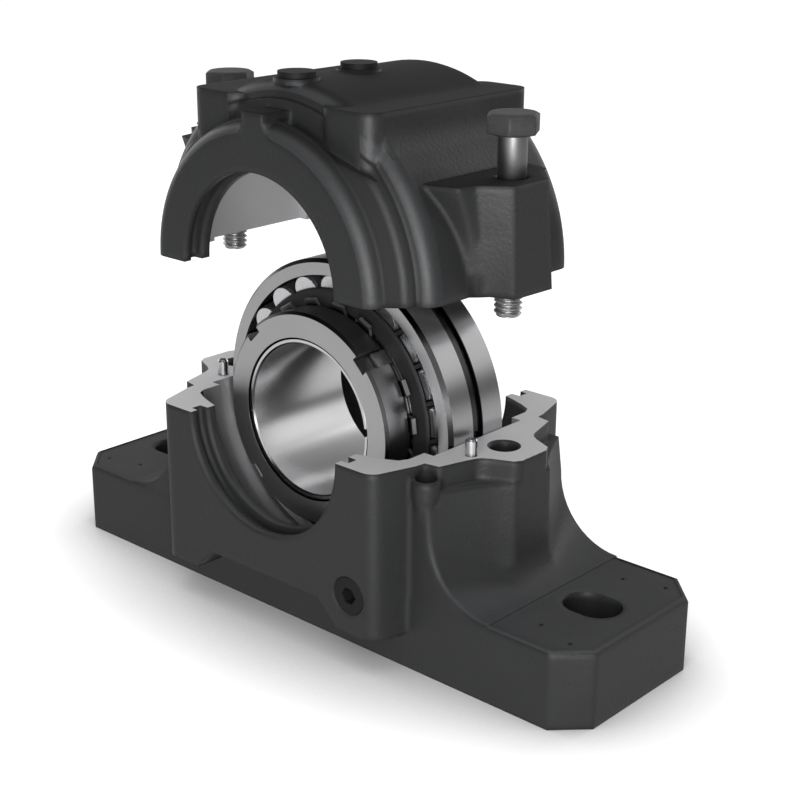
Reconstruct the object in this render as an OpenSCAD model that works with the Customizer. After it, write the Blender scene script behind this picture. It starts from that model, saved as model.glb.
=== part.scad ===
// Split bearing housing, drawn apart: cap lifted, spherical roller bearing on its adapter sleeve
// in the base.
// X runs along the foot, Y along the shaft with the front at -Y, Z up.
// The origin is the middle of the base's underside.

/* [Base] */
// Length of the foot
foot_length = 275; // [265:1:290]
// Width of the foot
foot_width = 80; // [76:1:84]
// Thickness of the foot
foot_height = 30; // [27:0.5:32]
// Chamfer on the foot's corners
foot_chamfer = 11.5; // [8:0.5:16]
// Height of the shaft's centre line
centre_height = 80; // [79:0.5:84]
// Width of the housing from front face to rear face
body_width = 110; // [108:1:116]
// Half width of the front wall
face_half_width = 53; // [51:0.5:54]
// Distance from the middle of a fixing slot to the foot's end
slot_end = 22.5; // [20:0.5:26]
// Width of a fixing slot
slot_width = 18; // [14:0.5:20]
// Length of a fixing slot
slot_length = 23; // [20:0.5:28]
// Height of the front wall's lower edge
skirt_height = 14; // [10:0.5:18]
// Thread diameter of the drain plug
drain_d = 11; // [9:0.5:12]

/* [Cap] */
// Gap between cap and base as drawn apart
cap_lift = 60; // [20:1:100]
// Height of the closed housing
closed_height = 150; // [148:0.5:154]
// Height of the flat pad on the closed cap
pad_height = 143.5; // [142:0.5:146]
// Height of the bolt blocks above the parting face
block_height = 40; // [36:0.5:44]
// Diameter of the two grease plugs
plug_d = 13.8; // [11:0.2:15]

/* [Cap bolts] */
// Distance between the two cap bolts
bolt_spacing = 144.6; // [143:0.2:146]
// Diameter of the bolt shank
bolt_d = 10.5; // [9.5:0.5:12.5]
// Length of the bolt under its head
bolt_length = 65; // [60:1:68]
// Width of the bolt head across its flats
bolt_flats = 17; // [16:0.5:19]
// Height of the bolt head
bolt_head_h = 7.5; // [6:0.5:9]
// How far the bolts are drawn up from their seats
bolt_lift = 15; // [5:1:40]

/* [Bearing] */
// Outside diameter of the bearing
bearing_od = 120; // [119.6:0.1:120.4]
// Width of the bearing
bearing_width = 31; // [30.4:0.1:32]
// Number of rollers in each row
roller_count = 21; // [12:1:21]
// Largest diameter of a roller
roller_d = 12.4; // [11.6:0.1:12.5]
// Length of a roller
roller_l = 12.4; // [11.6:0.1:12.6]
// Distance of a row's middle from the middle of the bearing
row_y = 7.6; // [7.5:0.05:7.9]
// Distance of a roller's middle from the shaft's centre line
row_r = 48.86; // [48.6:0.02:49]

/* [Adapter sleeve and nut] */
// Bore of the adapter sleeve
sleeve_bore = 60; // [56:0.5:61]
// Outside diameter of the sleeve's thread part
sleeve_od = 65; // [64.6:0.1:65.4]
// Width of the slit in the sleeve
sleeve_slit = 3.6; // [2:0.2:5]
// Outside diameter of the lock nut
nut_od = 85; // [82:0.5:87]
// Width of the lock nut
nut_width = 14; // [12:0.5:15]
// Width of the slots in the lock nut
nut_slot_width = 7; // [6:0.5:9]
// Depth of the slots in the lock nut
nut_slot_depth = 3.5; // [2.5:0.25:4]
// Number of tabs on the lock washer
washer_tabs = 19; // [11:2:19]
// Thickness of the lock washer
washer_t = 1.5; // [1:0.1:1.8]

/* [Clearances] */
// Radial clearance of the outer ring in its seat
seat_fit = 0.06; // [0.03:0.01:0.1]
// Radial clearance of a bolt in the cap and base
bolt_fit = 0.6; // [0.4:0.05:0.8]
// Gap between rollers and raceways
roller_gap = 0.2; // [0.12:0.02:0.25]
// Gap between two parts of the bearing that turn past each other
running_gap = 0.3; // [0.25:0.05:0.4]

/* [Hidden] */
$fn = 96;
roller_nodes_front = [for (i = [1:roller_count]) str("roller_front_", i)];
roller_nodes_rear = [for (i = [1:roller_count]) str("roller_rear_", i)];

// Colours
casting_colour = [0.24, 0.25, 0.26];
plug_colour = [0.12, 0.12, 0.13];
steel_colour = [0.72, 0.73, 0.74];
cage_colour = [0.16, 0.16, 0.17];

slot_spacing = foot_length - 2 * slot_end;

// Bore of the housing, measured from the shaft's centre line and from the middle
body_half = body_width / 2;
seat_r = bearing_od / 2 + seat_fit;
seat_half = 25.5;
shoulder_r = bearing_od / 2 - 4.3;
shoulder_half = 34;
cavity_end = body_half - 11.8;
opening_r = 39.2;
land_r = 38.3;
seal_r = 42.5;
seal_outer = body_half - 3.2;
seal_inner = body_half - 7.6;

// Outline of the base at the parting face
wall_corner_r = 6;
wall_reach = face_half_width + 9.5;
notch_y = 33.5;
web_x = 68.5;
web_half_y = 32;
waist_x = bolt_spacing / 2 + 0.2;
waist_half_y = 17.5;
boss_x = bolt_spacing / 2 + 14.2;
boss_half_y = 9.8;
flange_depth = 9;
side_y = foot_width / 2 - 0.5;
side_fillet_r = 28;
boss_fillet_r = 11;
fillet_toe = 98;
haunch_top = centre_height - 8.5;
small_boss = [wall_reach + 3, side_y - 4];
small_boss_top = centre_height - 4.4;
small_boss_r = 5.6;
small_boss_h = 6;
small_hole_r = 4;
front_draft = 0.14;
middle_draft = 0.02;
rim_width = 2;
pad_depth = 0.4;
drain = [45.4, 29.5];
drain_boss_r = 7.6;
rim_round = 2;
arch_top = 23.3;
arch_half = 29;
arch_foot_half = 38.5;
pin_d = 4.6;
pin_up = 6.5;
pin_down = 9;
pin_left = [-64.6, -15.5];
pin_right = [69.5, -15.5];
bolt_hole_r = bolt_d / 2 + bolt_fit / 4;
cap_hole_r = bolt_d / 2 + bolt_fit;
bolt_hole_depth = 34;

// Cap, in its closed place
shell_r = closed_height - centre_height;
flange_edge_r = face_half_width - 1.8;
flange_round = 6;
bead_r = 63.4;
edge_round = 6;
channel_r = 112;
channel_drop = 60;
flange_boss_w = 11;
ear_inner = 20;
ear_outer = 46;
ear_half = 44;
ear_r = 7;
ear_top = pad_height;
block_top = centre_height + block_height;
block_lap = 1;
crown_boss_r = 8.4;
crown_boss_depth = 1.6;
plug_front_y = 22 - body_half;
plug_centre_y = -1;
plug_head = 2.2;
plug_stem_r = 5;
plug_stem = 8;
plug_seat = closed_height + 0.6;
cap_pin_gap = 0.3;

// Bearing, about the shaft's centre line
tilt = atan(row_y / row_r);
row_distance = norm([row_y, row_r]);
race_r = row_distance + roller_d / 2 + roller_gap;
contact_r = row_distance - roller_d / 2 - roller_gap;
barrel_r = race_r - 1.2;
inner_race_r = barrel_r + 0.6;
ring_half = bearing_width / 2;
inner_end_y = 13.6;
inner_shoulder_r = 39.6;
ridge_r = 43.9;
ring_chamfer = 1.5;
groove_half = 2.5;
groove_depth = 1.2;
oil_hole_d = 4.5;
taper = 1 / 24;
bore_front_r = sleeve_od / 2;
sleeve_rear = 19.5;
nut_rear = -ring_half - washer_t;
nut_front = nut_rear - nut_width;
sleeve_front = nut_front + 0.5;
cage_gap = running_gap;
cage_wall = 1.3;
cage_ring_r = [row_r + 3.04, row_r + 3.04 + cage_wall];
cage_ring_y = [0.2, 1.9];
cage_flange_r = [inner_shoulder_r + 1.4, inner_shoulder_r + 7.2];
cage_flange_y = [ring_half - 1.55, ring_half - 0.5];
tab_width = 6;
tab_bend = 25;
tab_lap = 6;

function arc(c, r, a0, a1, n) = [for (i = [0:n]) let (a = a0 + (a1 - a0) * i / n) c + r * [cos(a), sin(a)]];
function flip_x(p) = [for (i = [len(p) - 1:-1:0]) [-p[i].x, p[i].y]];
function flip_y(p) = [for (i = [len(p) - 1:-1:0]) [p[i].x, -p[i].y]];
function four_ways(q) = let (right = concat(q, flip_y(q))) concat(right, flip_x(right));

// Turned solid about the shaft's centre line from points of radius and place along the shaft
module turned(points) {
    translate([0, 0, centre_height]) rotate([-90, 0, 0]) rotate_extrude() polygon(points);
}

// Everything inside the housing that is bored out, as one turned solid
module housing_bore() {
    front = [[seat_r, seat_half], [shoulder_r, seat_half], [shoulder_r, shoulder_half],
        [shoulder_r - 1.8, cavity_end - 5.7], [shoulder_r - 6.7, cavity_end - 3.2],
        [shoulder_r - 11.7, cavity_end - 1.4], [land_r + 1.2, cavity_end],
        [land_r, cavity_end + 0.2], [land_r, seal_inner - 0.2], [seal_r, seal_inner],
        [seal_r, seal_outer - 0.2], [opening_r, seal_outer], [opening_r, body_half + 1]];
    turned(concat([[0, body_half + 1]], [for (i = [len(front) - 1:-1:0]) front[i]],
        [for (p = front) [p.x, -p.y]], [[0, -body_half - 1]]));
}

function wall_quadrant() = concat(
    arc([face_half_width - 0.8, body_half - wall_corner_r], wall_corner_r, 90, 10, 6),
    [[wall_reach - 0.4, notch_y + 3.5], [wall_reach, notch_y]]);

function flange_quadrant() = [[wall_reach - 2, notch_y], [web_x, web_half_y], [web_x + 2, web_half_y - 7],
    [waist_x, waist_half_y + 0.5], [waist_x + 1.6, waist_half_y - 2.2], [waist_x + 4.6, waist_half_y - 4.2],
    [boss_x - 1.5, boss_half_y], [boss_x, boss_half_y - 2.8]];

// The haunch is the side wall that sweeps down to the foot in a hollow curve. Its fillet is small beside
// the bolt boss in the middle and grows towards the front and rear edges, where the wall also leans in.
function haunch_share(y) = pow(max(abs(y) - boss_half_y, 0) / (side_y - boss_half_y), 0.8);
function haunch_r(y) = boss_fillet_r + (side_fillet_r - boss_fillet_r) * haunch_share(y);
function haunch_draft(y) = middle_draft + (front_draft - middle_draft) * haunch_share(y);
function haunch_x(y, z) = let (r = haunch_r(y), drop = foot_height + r - z)
    fillet_toe - (drop <= 0 ? r - haunch_draft(y) * drop : sqrt(max(r * r - drop * drop, 0)));

// One level of the haunch's outline, from its front edge to its rear edge
function haunch_row(z) = let (step = (side_y - boss_half_y) / 7,
    ys = concat([for (i = [7:-1:0]) -boss_half_y - step * i], [for (i = [0:7]) boss_half_y + step * i]))
    concat([[45, -side_y, z]], [for (y = ys) [haunch_x(y, z), y, z]], [[45, side_y, z]]);

module haunch() {
    levels = concat([foot_height - 3], [for (i = [0:12]) foot_height + side_fillet_r * (1 - cos(i * 7.5))],
        [haunch_top]);
    stacked([for (z = levels) haunch_row(z)]);
}

function foot_outline(inset) =
    let (x = foot_length / 2 - inset, y = foot_width / 2 - inset, c = foot_chamfer)
    [[x, y - c], [x - c, y], [c - x, y], [-x, y - c], [-x, c - y], [c - x, -y], [x - c, -y], [x, c - y]];

module foot() {
    linear_extrude(height = foot_height - rim_round) polygon(foot_outline(0));
    hull() {
        translate([0, 0, foot_height - rim_round - 0.01]) linear_extrude(height = 0.01)
            polygon(foot_outline(0));
        translate([0, 0, foot_height - 0.6]) linear_extrude(height = 0.01) polygon(foot_outline(0.5));
        translate([0, 0, foot_height - 0.01]) linear_extrude(height = 0.01) polygon(foot_outline(1.6));
    }
}

module fixing_slot() {
    r = slot_width / 2;
    d = (slot_length - slot_width) / 2;
    translate([slot_spacing / 2, 0, -1]) {
        for (s = [-1, 1]) translate([s * d, 0, 0]) cylinder(r = r, h = foot_height + 2);
        translate([-d, -r, 0]) cube([2 * d, 2 * r, foot_height + 2]);
    }
}

module foot_dimples() {
    end = foot_length / 2;
    for (p = [[end - 26.8, 25], [end - 10.8, 29.5], [end - 26.8, -25], [end - 10.8, -29.5]])
        translate([p.x, p.y, foot_height - 0.8 - pad_depth]) cylinder(d1 = 0.4, d2 = 2, h = 0.82, $fn = 24);
}

// Shallow seats milled into the top of the foot, inside a narrow rim
module foot_pads() {
    x = foot_length / 2 - rim_width;
    y = foot_width / 2 - rim_width;
    c = foot_chamfer - 1;
    quarter = [[fillet_toe, y], [x - c, y], [x, y - c]];
    for (s = [0, 1]) mirror([s, 0, 0]) translate([0, 0, foot_height - pad_depth]) linear_extrude(height = 1)
        polygon(concat(quarter, flip_y(quarter)));
}

module base_body() {
    foot();
    translate([0, 0, skirt_height]) linear_extrude(height = centre_height - skirt_height)
        polygon(four_ways(wall_quadrant()));
    translate([0, 0, centre_height - flange_depth]) linear_extrude(height = flange_depth)
        polygon(four_ways(flange_quadrant()));
    for (s = [0, 1]) mirror([s, 0, 0]) haunch();
    for (s = [-1, 1]) translate([-s * small_boss.x, s * small_boss.y, small_boss_top - small_boss_h]) {
        cylinder(r = small_boss_r, h = small_boss_h);
        translate([0, 0, -4 * small_boss_h]) cylinder(r1 = 2, r2 = small_boss_r, h = 4 * small_boss_h);
    }
}

module housing_base() {
    color(casting_colour) difference() {
        base_body();
        housing_bore();
        for (s = [0, 1]) mirror([s, 0, 0]) {
            fixing_slot();
            foot_dimples();
            translate([bolt_spacing / 2, 0, centre_height - bolt_hole_depth])
                cylinder(r = bolt_hole_r, h = bolt_hole_depth + 1);
            translate([bolt_spacing / 2, 0, centre_height - 0.9])
                cylinder(r1 = bolt_hole_r, r2 = bolt_hole_r + 1, h = 1);
        }
        foot_pads();
        for (s = [-1, 1]) translate([-s * small_boss.x, s * small_boss.y, small_boss_top - 10])
            cylinder(r = small_hole_r, h = 11);
        for (p = [pin_left, pin_right]) translate([p.x, p.y, centre_height - pin_down])
            cylinder(d = pin_d, h = pin_down + 1);
        front_arch();
        translate([drain.x, -body_half - 1, drain.y]) rotate([-90, 0, 0]) cylinder(d = drain_d, h = 17);
        translate([drain.x, -body_half - 1, drain.y]) rotate([-90, 0, 0]) cylinder(r = drain_boss_r, h = 2);
    }
}

// Arch under the front and rear walls
module front_arch() {
    for (s = [0, 1]) mirror([0, s, 0])
        translate([0, -foot_width / 2, 0]) rotate([90, 0, 0]) linear_extrude(height = body_half)
            polygon([[-arch_foot_half, skirt_height - 1], [-arch_foot_half, skirt_height + 0.5],
                [-arch_half, arch_top], [arch_half, arch_top],
                [arch_foot_half, skirt_height + 0.5], [arch_foot_half, skirt_height - 1]]);
}

module drain_plug() {
    color(plug_colour) translate([drain.x, -body_half + 1, drain.y]) rotate([-90, 0, 0]) difference() {
        union() {
            translate([0, 0, -0.9]) cylinder(r = drain_boss_r - 0.3, h = 0.9);
            cylinder(d = drain_d - 0.4, h = 11);
        }
        translate([0, 0, -2]) cylinder(d = 6.9, h = 6, $fn = 6);
    }
}

// Slotted spring pin that stands in the parting face
module dowel_pin(at) {
    color(steel_colour) translate([at.x, at.y, centre_height - pin_down + 0.5]) difference() {
        union() {
            cylinder(d = pin_d - 0.1, h = pin_down + pin_up - 1.3);
            translate([0, 0, pin_down + pin_up - 1.3]) cylinder(d1 = pin_d - 0.1, d2 = pin_d - 1.2, h = 0.8);
        }
        translate([0, 0, -1]) cylinder(d = pin_d - 1.8, h = pin_down + pin_up + 2);
        translate([0, -0.4, -1]) cube([pin_d, 0.8, pin_down + pin_up + 2]);
    }
}
module dowel_pin_left() { dowel_pin(pin_left); }
module dowel_pin_right() { dowel_pin(pin_right); }

// Outside of the cap, as points of radius and place along the shaft: the flat face of the flange, its
// rounded edge, the valley behind it, the bead, the narrow groove, and the rounded front edge of the shell
function cap_profile() = let (f = body_half, e = flange_edge_r) concat(
    [[0, f], [e, f]],
    arc([e, f - flange_round], flange_round, 90, 0, 6),
    [[e + 8.6, f - 8.2]],
    arc([bead_r - 1.6, f - 12.4], 1.6, 45, -10, 4),
    [[bead_r + 0.6, f - 13.9]],
    arc([shell_r - edge_round, f - 15 - edge_round], edge_round, 90, 0, 8),
    [[shell_r, 0], [0, 0]]);

module cap_shell() {
    for (s = [0, 1]) mirror([0, s, 0]) turned(cap_profile());
}

// Crescent hollow behind the top of a flange, between the flange and the shell's end wall. Its floor is a
// large round about a point below the shaft, so the hollow runs out towards the sides.
module channel() {
    f = body_half;
    e = flange_edge_r;
    difference() {
        turned([[e + 0.8, f - 10.2], [e + 0.8, f - 8.8], [e + flange_round - 0.4, f - 7.6], [e + 9, f - 5.5],
            [shell_r + 9, f - 5.5], [shell_r + 9, f - 13.2], [shell_r - 8, f - 13.2], [e + 2.6, f - 12.4]]);
        translate([0, f, centre_height - channel_drop]) rotate([90, 0, 0]) cylinder(r = channel_r, h = 20);
    }
}

// Narrow boss on the crown of a flange, flush with its face, with hollow flanks
module flange_boss() {
    w = flange_boss_w / 2;
    z0 = centre_height + 50;
    top = centre_height + 60.4;
    flank = [for (i = [0:6]) [w + 5 * (1 - sin(i * 15)), z0 + 1.5 + 7 * (1 - cos(i * 15))]];
    half = concat([[w + 6, z0]], flank, [[w, top]]);
    translate([0, body_half, 0]) rotate([90, 0, 0]) linear_extrude(height = 14)
        polygon(concat(half, flip_x(half)));
}

// Corner block of the top pad: a bar along the shaft with round upright edges, flared into the shell
module pad_side() {
    z0 = centre_height + 24;
    h = ear_top - z0;
    r = ear_r;
    x0 = ear_inner + r;
    x1 = ear_outer - r;
    y1 = ear_half - r;
    translate([0, 0, z0]) {
        for (x = [x0, x1], y = [-y1, y1]) translate([x, y, 0]) cylinder(r = r, h = h);
        translate([ear_inner, -y1, 0]) cube([ear_outer - ear_inner, 2 * y1, h]);
        translate([x0, -ear_half, 0]) cube([x1 - x0, 2 * ear_half, h]);
    }
    flare = 16;
    up = sqrt((shell_r + flare) * (shell_r + flare) - (ear_outer + flare) * (ear_outer + flare));
    end = atan2(-up, -ear_outer - flare) + 360;
    translate([0, y1, centre_height]) rotate([90, 0, 0]) linear_extrude(height = 2 * y1)
        polygon(concat([[ear_outer - 6, up]], arc([ear_outer + flare, up], flare, 180, end, 8),
            [[ear_outer - 6, 40]]));
}

// One flank of a bolt block at a share of its height, from the shell outwards: the flank sweeps out
// towards the top in a hollow and ends in a thin lip there
function block_flank(share) = let (t = pow(share, 1.6), lip = pow(share, 3))
    [[waist_x - 18.5, 24 + 5 * lip], [waist_x - 4.5 - 7.6 * lip, 21 + 10 * lip],
     [waist_x - 0.3 - 1.2 * t, waist_half_y - 0.6 + 10.5 * t],
     [waist_x + 2.3 - 2.3 * share, waist_half_y - 3.9 + 6.6 * share]];
function block_row(share) = let (z = centre_height - block_lap + (block_height + block_lap) * share,
    flank = block_flank(share), rear = block_flank(share / 2), face_x = boss_x - 3.2,
    edge_y = boss_half_y + 0.7)
    concat([for (p = flank) [p.x, -p.y, z]], [[face_x, -edge_y - 1.4 * share, z],
        [face_x + 0.8 - share, edge_y - 0.6 - 3.2 * share, z]],
        [for (i = [3:-1:0]) [rear[i].x, rear[i].y, z]]);

// Solid through a list of outlines of equal length, lowest first
module stacked(rows) {
    n = len(rows[0]);
    m = len(rows);
    polyhedron(points = [for (r = rows) for (p = r) p],
        faces = concat(
            [[for (i = [0:n - 1]) i]],
            [[for (i = [n - 1:-1:0]) (m - 1) * n + i]],
            [for (k = [0:m - 2]) for (i = [0:n - 1]) let (j = (i + 1) % n)
                each [[k * n + i, (k + 1) * n + i, (k + 1) * n + j],
                    [k * n + i, (k + 1) * n + j, k * n + j]]]),
        convexity = 6);
}

module bolt_block() {
    stacked([for (share = [0:0.1:1]) block_row(share)]);
}

module cap_body() {
    intersection() {
        union() {
            difference() {
                cap_shell();
                for (s = [0, 1]) mirror([0, s, 0]) channel();
            }
            for (s = [0, 1]) mirror([s, 0, 0]) {
                bolt_block();
                pad_side();
            }
            for (s = [0, 1]) mirror([0, s, 0]) flange_boss();
        }
        translate([-100, -100, centre_height]) cube([200, 200, 100]);
    }
    for (y = [plug_centre_y, plug_front_y]) translate([0, y, closed_height - crown_boss_depth])
        cylinder(r = crown_boss_r, h = plug_seat - closed_height + crown_boss_depth);
}

module housing_cap() {
    color(casting_colour) translate([0, 0, cap_lift]) difference() {
        cap_body();
        housing_bore();
        for (s = [-1, 1]) translate([s * bolt_spacing / 2, 0, centre_height - 1])
            cylinder(r = cap_hole_r, h = block_height + 2);
        for (p = [pin_left, pin_right]) translate([p.x, p.y, centre_height - 1])
            cylinder(d = pin_d + 2 * cap_pin_gap, h = pin_up + 2.5);
        for (y = [plug_centre_y, plug_front_y]) translate([0, y, plug_seat - plug_stem - 0.5])
            cylinder(r = plug_stem_r + 0.1, h = plug_stem + 2);
    }
}

// Flat black plug in the crown
module grease_plug(y) {
    color(plug_colour) translate([0, y, plug_seat + cap_lift]) {
        cylinder(d = plug_d, h = plug_head);
        translate([0, 0, -plug_stem]) cylinder(r = plug_stem_r, h = plug_stem);
    }
}
module grease_plug_centre() { grease_plug(plug_centre_y); }
module grease_plug_front() { grease_plug(plug_front_y); }

// Hexagon head bolt
module cap_bolt(side) {
    under = block_top + cap_lift + bolt_lift;
    color(steel_colour) translate([side * bolt_spacing / 2, 0, under]) {
        intersection() {
            cylinder(d = bolt_flats / cos(30), h = bolt_head_h, $fn = 6);
            cylinder(r1 = bolt_flats / 2 + 8, r2 = bolt_flats / 2 - 0.4, h = bolt_head_h);
        }
        translate([0, 0, -bolt_length + 1.2]) cylinder(d = bolt_d, h = bolt_length - 1.2);
        translate([0, 0, -bolt_length]) cylinder(d1 = bolt_d - 2.4, d2 = bolt_d, h = 1.2);
    }
}
module cap_bolt_left() { cap_bolt(-1); }
module cap_bolt_right() { cap_bolt(1); }

module outer_ring() {
    r = bearing_od / 2;
    c = ring_chamfer;
    color(steel_colour) difference() {
        turned([[contact_r, ring_half], [r - c, ring_half], [r, ring_half - c], [r, groove_half],
            [r - groove_depth, groove_half - 0.6], [r - groove_depth, 0.6 - groove_half], [r, -groove_half],
            [r, c - ring_half], [r - c, -ring_half], [contact_r, -ring_half]]);
        translate([0, 0, centre_height]) sphere(r = race_r);
        translate([0, 0, centre_height]) for (a = [90, 210, 330]) rotate([0, a, 0])
            cylinder(d = oil_hole_d, h = r + 1, $fn = 32);
    }
}

// Point of the inner raceway at an angle from the roller's contact, for the row on the +Y side
function race_point(y) = let (k = contact_r + inner_race_r, cy = k * sin(tilt), cr = k * cos(tilt))
    [cr - sqrt(inner_race_r * inner_race_r - (y - cy) * (y - cy)), y];

module inner_ring() {
    steps = 8;
    start = 1.6;
    race = [for (i = [0:steps]) race_point(start + (inner_end_y - start) * i / steps)];
    half = concat([for (p = race) [min(p.x, ridge_r), p.y]], [[inner_shoulder_r, inner_end_y],
        [inner_shoulder_r, ring_half - 0.8], [inner_shoulder_r - 0.8, ring_half]]);
    rear = bore_front_r + bearing_width * taper;
    color(steel_colour) turned(concat(
        [[bore_front_r, -ring_half]],
        [for (i = [len(half) - 1:-1:0]) [half[i].x, -half[i].y]],
        [[ridge_r, -start + 0.1], [ridge_r, start - 0.1]],
        half,
        [[rear, ring_half]]));
}

// Loose ring between the rows, wedge shaped in section
module guide_ring() {
    inner = ridge_r + running_gap;
    outer = cage_ring_r[0] - cage_gap;
    end_r = row_r + roller_l / 2 * sin(tilt);
    end_y = row_y - roller_l / 2 * cos(tilt);
    function half_at(r) = end_y + (r - end_r) * tan(tilt) - roller_gap;
    color(steel_colour) turned([[inner, -half_at(inner)], [outer, -half_at(outer)], [outer, half_at(outer)],
        [inner, half_at(inner)]]);
}

// Places a child at a roller: its axis lies along Z before the turn, its outer end up
module at_roller(i, side) {
    translate([0, 0, centre_height]) rotate([0, -roller_angle(i, side), 0])
        translate([row_r, side * row_y, 0]) rotate([0, 0, side * tilt])
            rotate([-90 * side, 0, 0]) children();
}
function roller_angle(i, side) = 7.46 + 360 / roller_count * (i - 1) + (side > 0 ? 180 / roller_count : 0);

module roller(i, side) {
    steps = 8;
    h = roller_l / 2;
    sag = barrel_r - roller_d / 2;
    color(steel_colour) at_roller(i, side)
        rotate_extrude() polygon(concat([[0, -h]],
            [for (k = [0:steps])
                let (y = -h + roller_l * k / steps, r = sqrt(barrel_r * barrel_r - y * y) - sag)
                [k == 0 || k == steps ? r - 0.35 : r, y]],
            [[0, h]]));
}

// Window cage for one row: a flange at the outer side, a conical shell with pockets, a ring in the middle
module cage(side) {
    f = cage_flange_r;
    fy = cage_flange_y;
    m = cage_ring_r;
    my = cage_ring_y;
    points = [[f[0], fy[1]], [f[1] + 0.6, fy[1]], [f[1] + 1.4, fy[1] - 0.4], [m[1], my[1]], [m[1], my[0]],
        [m[0], my[0]], [m[0], my[1]], [f[1] - 0.6, fy[0]], [f[0], fy[0]]];
    color(cage_colour) difference() {
        turned([for (p = points) [p.x, side * p.y]]);
        for (i = [1:roller_count]) at_roller(i, side)
            translate([0, 0, -roller_l / 2 - running_gap])
                cylinder(d = roller_d + 2 * running_gap, h = roller_l + 2 * running_gap, $fn = 32);
    }
}
module cage_front() { cage(-1); }
module cage_rear() { cage(1); }

// Radius of the tapered seat at a place along the shaft
function taper_r(y) = bore_front_r + (y + ring_half) * taper;

module adapter_sleeve() {
    b = sleeve_bore / 2;
    color(steel_colour) difference() {
        turned([[b + 0.6, sleeve_front], [bore_front_r - 0.8, sleeve_front],
            [bore_front_r, sleeve_front + 0.8],
            [bore_front_r, -ring_half], [taper_r(sleeve_rear), sleeve_rear], [b + 0.6, sleeve_rear],
            [b, sleeve_rear - 0.6], [b, sleeve_front + 0.6]]);
        translate([0, 0, centre_height]) rotate([0, -4.5, 0])
            translate([b - 2, sleeve_front - 1, -sleeve_slit / 2])
            cube([10, sleeve_rear - sleeve_front + 2, sleeve_slit]);
    }
}

module lock_nut() {
    r = nut_od / 2;
    color(steel_colour) difference() {
        turned([[bore_front_r, nut_front], [r - 1.1, nut_front], [r, nut_front + 1.1], [r, nut_rear - 2.3],
            [r - 3, nut_rear], [bore_front_r, nut_rear]]);
        translate([0, 0, centre_height]) for (a = [45:90:315]) rotate([0, -a, 0])
            translate([r - nut_slot_depth, nut_front - 1, -nut_slot_width / 2])
                cube([nut_slot_depth + 2, nut_width + 2, nut_slot_width]);
    }
}

module lock_washer() {
    disc_r = inner_shoulder_r - 0.1;
    color(steel_colour) {
        turned([[bore_front_r, nut_rear], [disc_r, nut_rear], [disc_r, nut_rear + washer_t],
            [bore_front_r, nut_rear + washer_t]]);
        translate([0, 0, centre_height]) for (i = [1:washer_tabs - 1])
            rotate([0, -45 - i * 360 / washer_tabs, 0]) translate([disc_r, nut_rear, -tab_width / 2])
                rotate([0, 0, -tab_bend]) translate([-0.8, 0, 0]) cube([6.5, washer_t, tab_width]);
        translate([0, 0, centre_height]) rotate([0, -45, 0])
            translate([nut_od / 2 - nut_slot_depth + 0.1, nut_rear - tab_lap, -tab_width / 2])
                cube([washer_t, tab_lap + washer_t, tab_width]);
    }
}

housing_base();
drain_plug();
dowel_pin_left();
dowel_pin_right();
housing_cap();
grease_plug_centre();
grease_plug_front();
cap_bolt_left();
cap_bolt_right();
outer_ring();
inner_ring();
guide_ring();
cage_front();
cage_rear();
adapter_sleeve();
lock_nut();
lock_washer();
for (i = [1:roller_count]) {
    roller(i, -1);
    roller(i, 1);
}
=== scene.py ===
"""Looks of the split bearing housing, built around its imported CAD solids.

The sections follow the parts as they are put together: base, drain plug and pins, bearing, sleeve with its
nut and washer, cap, grease plugs and cap bolts, and last the studio in which they stand. Everything is in
metres, in the frame of the CAD part, and radii are taken from the shaft's axis.
"""

import math

import bmesh
import bpy
from mathutils import Matrix, Vector


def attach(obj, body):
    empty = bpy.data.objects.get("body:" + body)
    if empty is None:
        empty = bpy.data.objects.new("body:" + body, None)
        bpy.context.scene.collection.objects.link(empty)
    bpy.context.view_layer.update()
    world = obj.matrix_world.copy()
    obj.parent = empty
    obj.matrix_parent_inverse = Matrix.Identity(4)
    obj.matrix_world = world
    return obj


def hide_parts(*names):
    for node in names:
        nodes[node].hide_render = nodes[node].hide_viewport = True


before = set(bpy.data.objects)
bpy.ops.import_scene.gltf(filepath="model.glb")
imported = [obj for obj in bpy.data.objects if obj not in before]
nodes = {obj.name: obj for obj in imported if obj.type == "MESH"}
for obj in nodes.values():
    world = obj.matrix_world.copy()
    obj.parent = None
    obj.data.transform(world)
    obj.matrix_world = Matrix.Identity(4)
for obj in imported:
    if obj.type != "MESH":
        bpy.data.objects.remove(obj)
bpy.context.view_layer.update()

# --- Base -------------------------------------------------------------------------------------------------
# The base is a grey iron casting with a dark satin paint and rounded cast edges. Its parting face and the
# seat of the bearing are milled and bored after painting, so they are bare and their edges are crisp.

SHAFT_HEIGHT = 0.080
PARTING_HEIGHT = 0.080
PARTING_DEPTH = 0.0003  # how far a milled face may lie from the parting height
SEAT_HALF_WIDTH = 0.0345
BORE_REACH = 0.0602  # largest radius that the cutter bores
SQUARE_ON = 0.95  # part of a normal along an axis, above which the face looks that way
BORE_INWARDS = -0.6  # outward part of a normal, below which the face looks at the shaft

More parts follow.
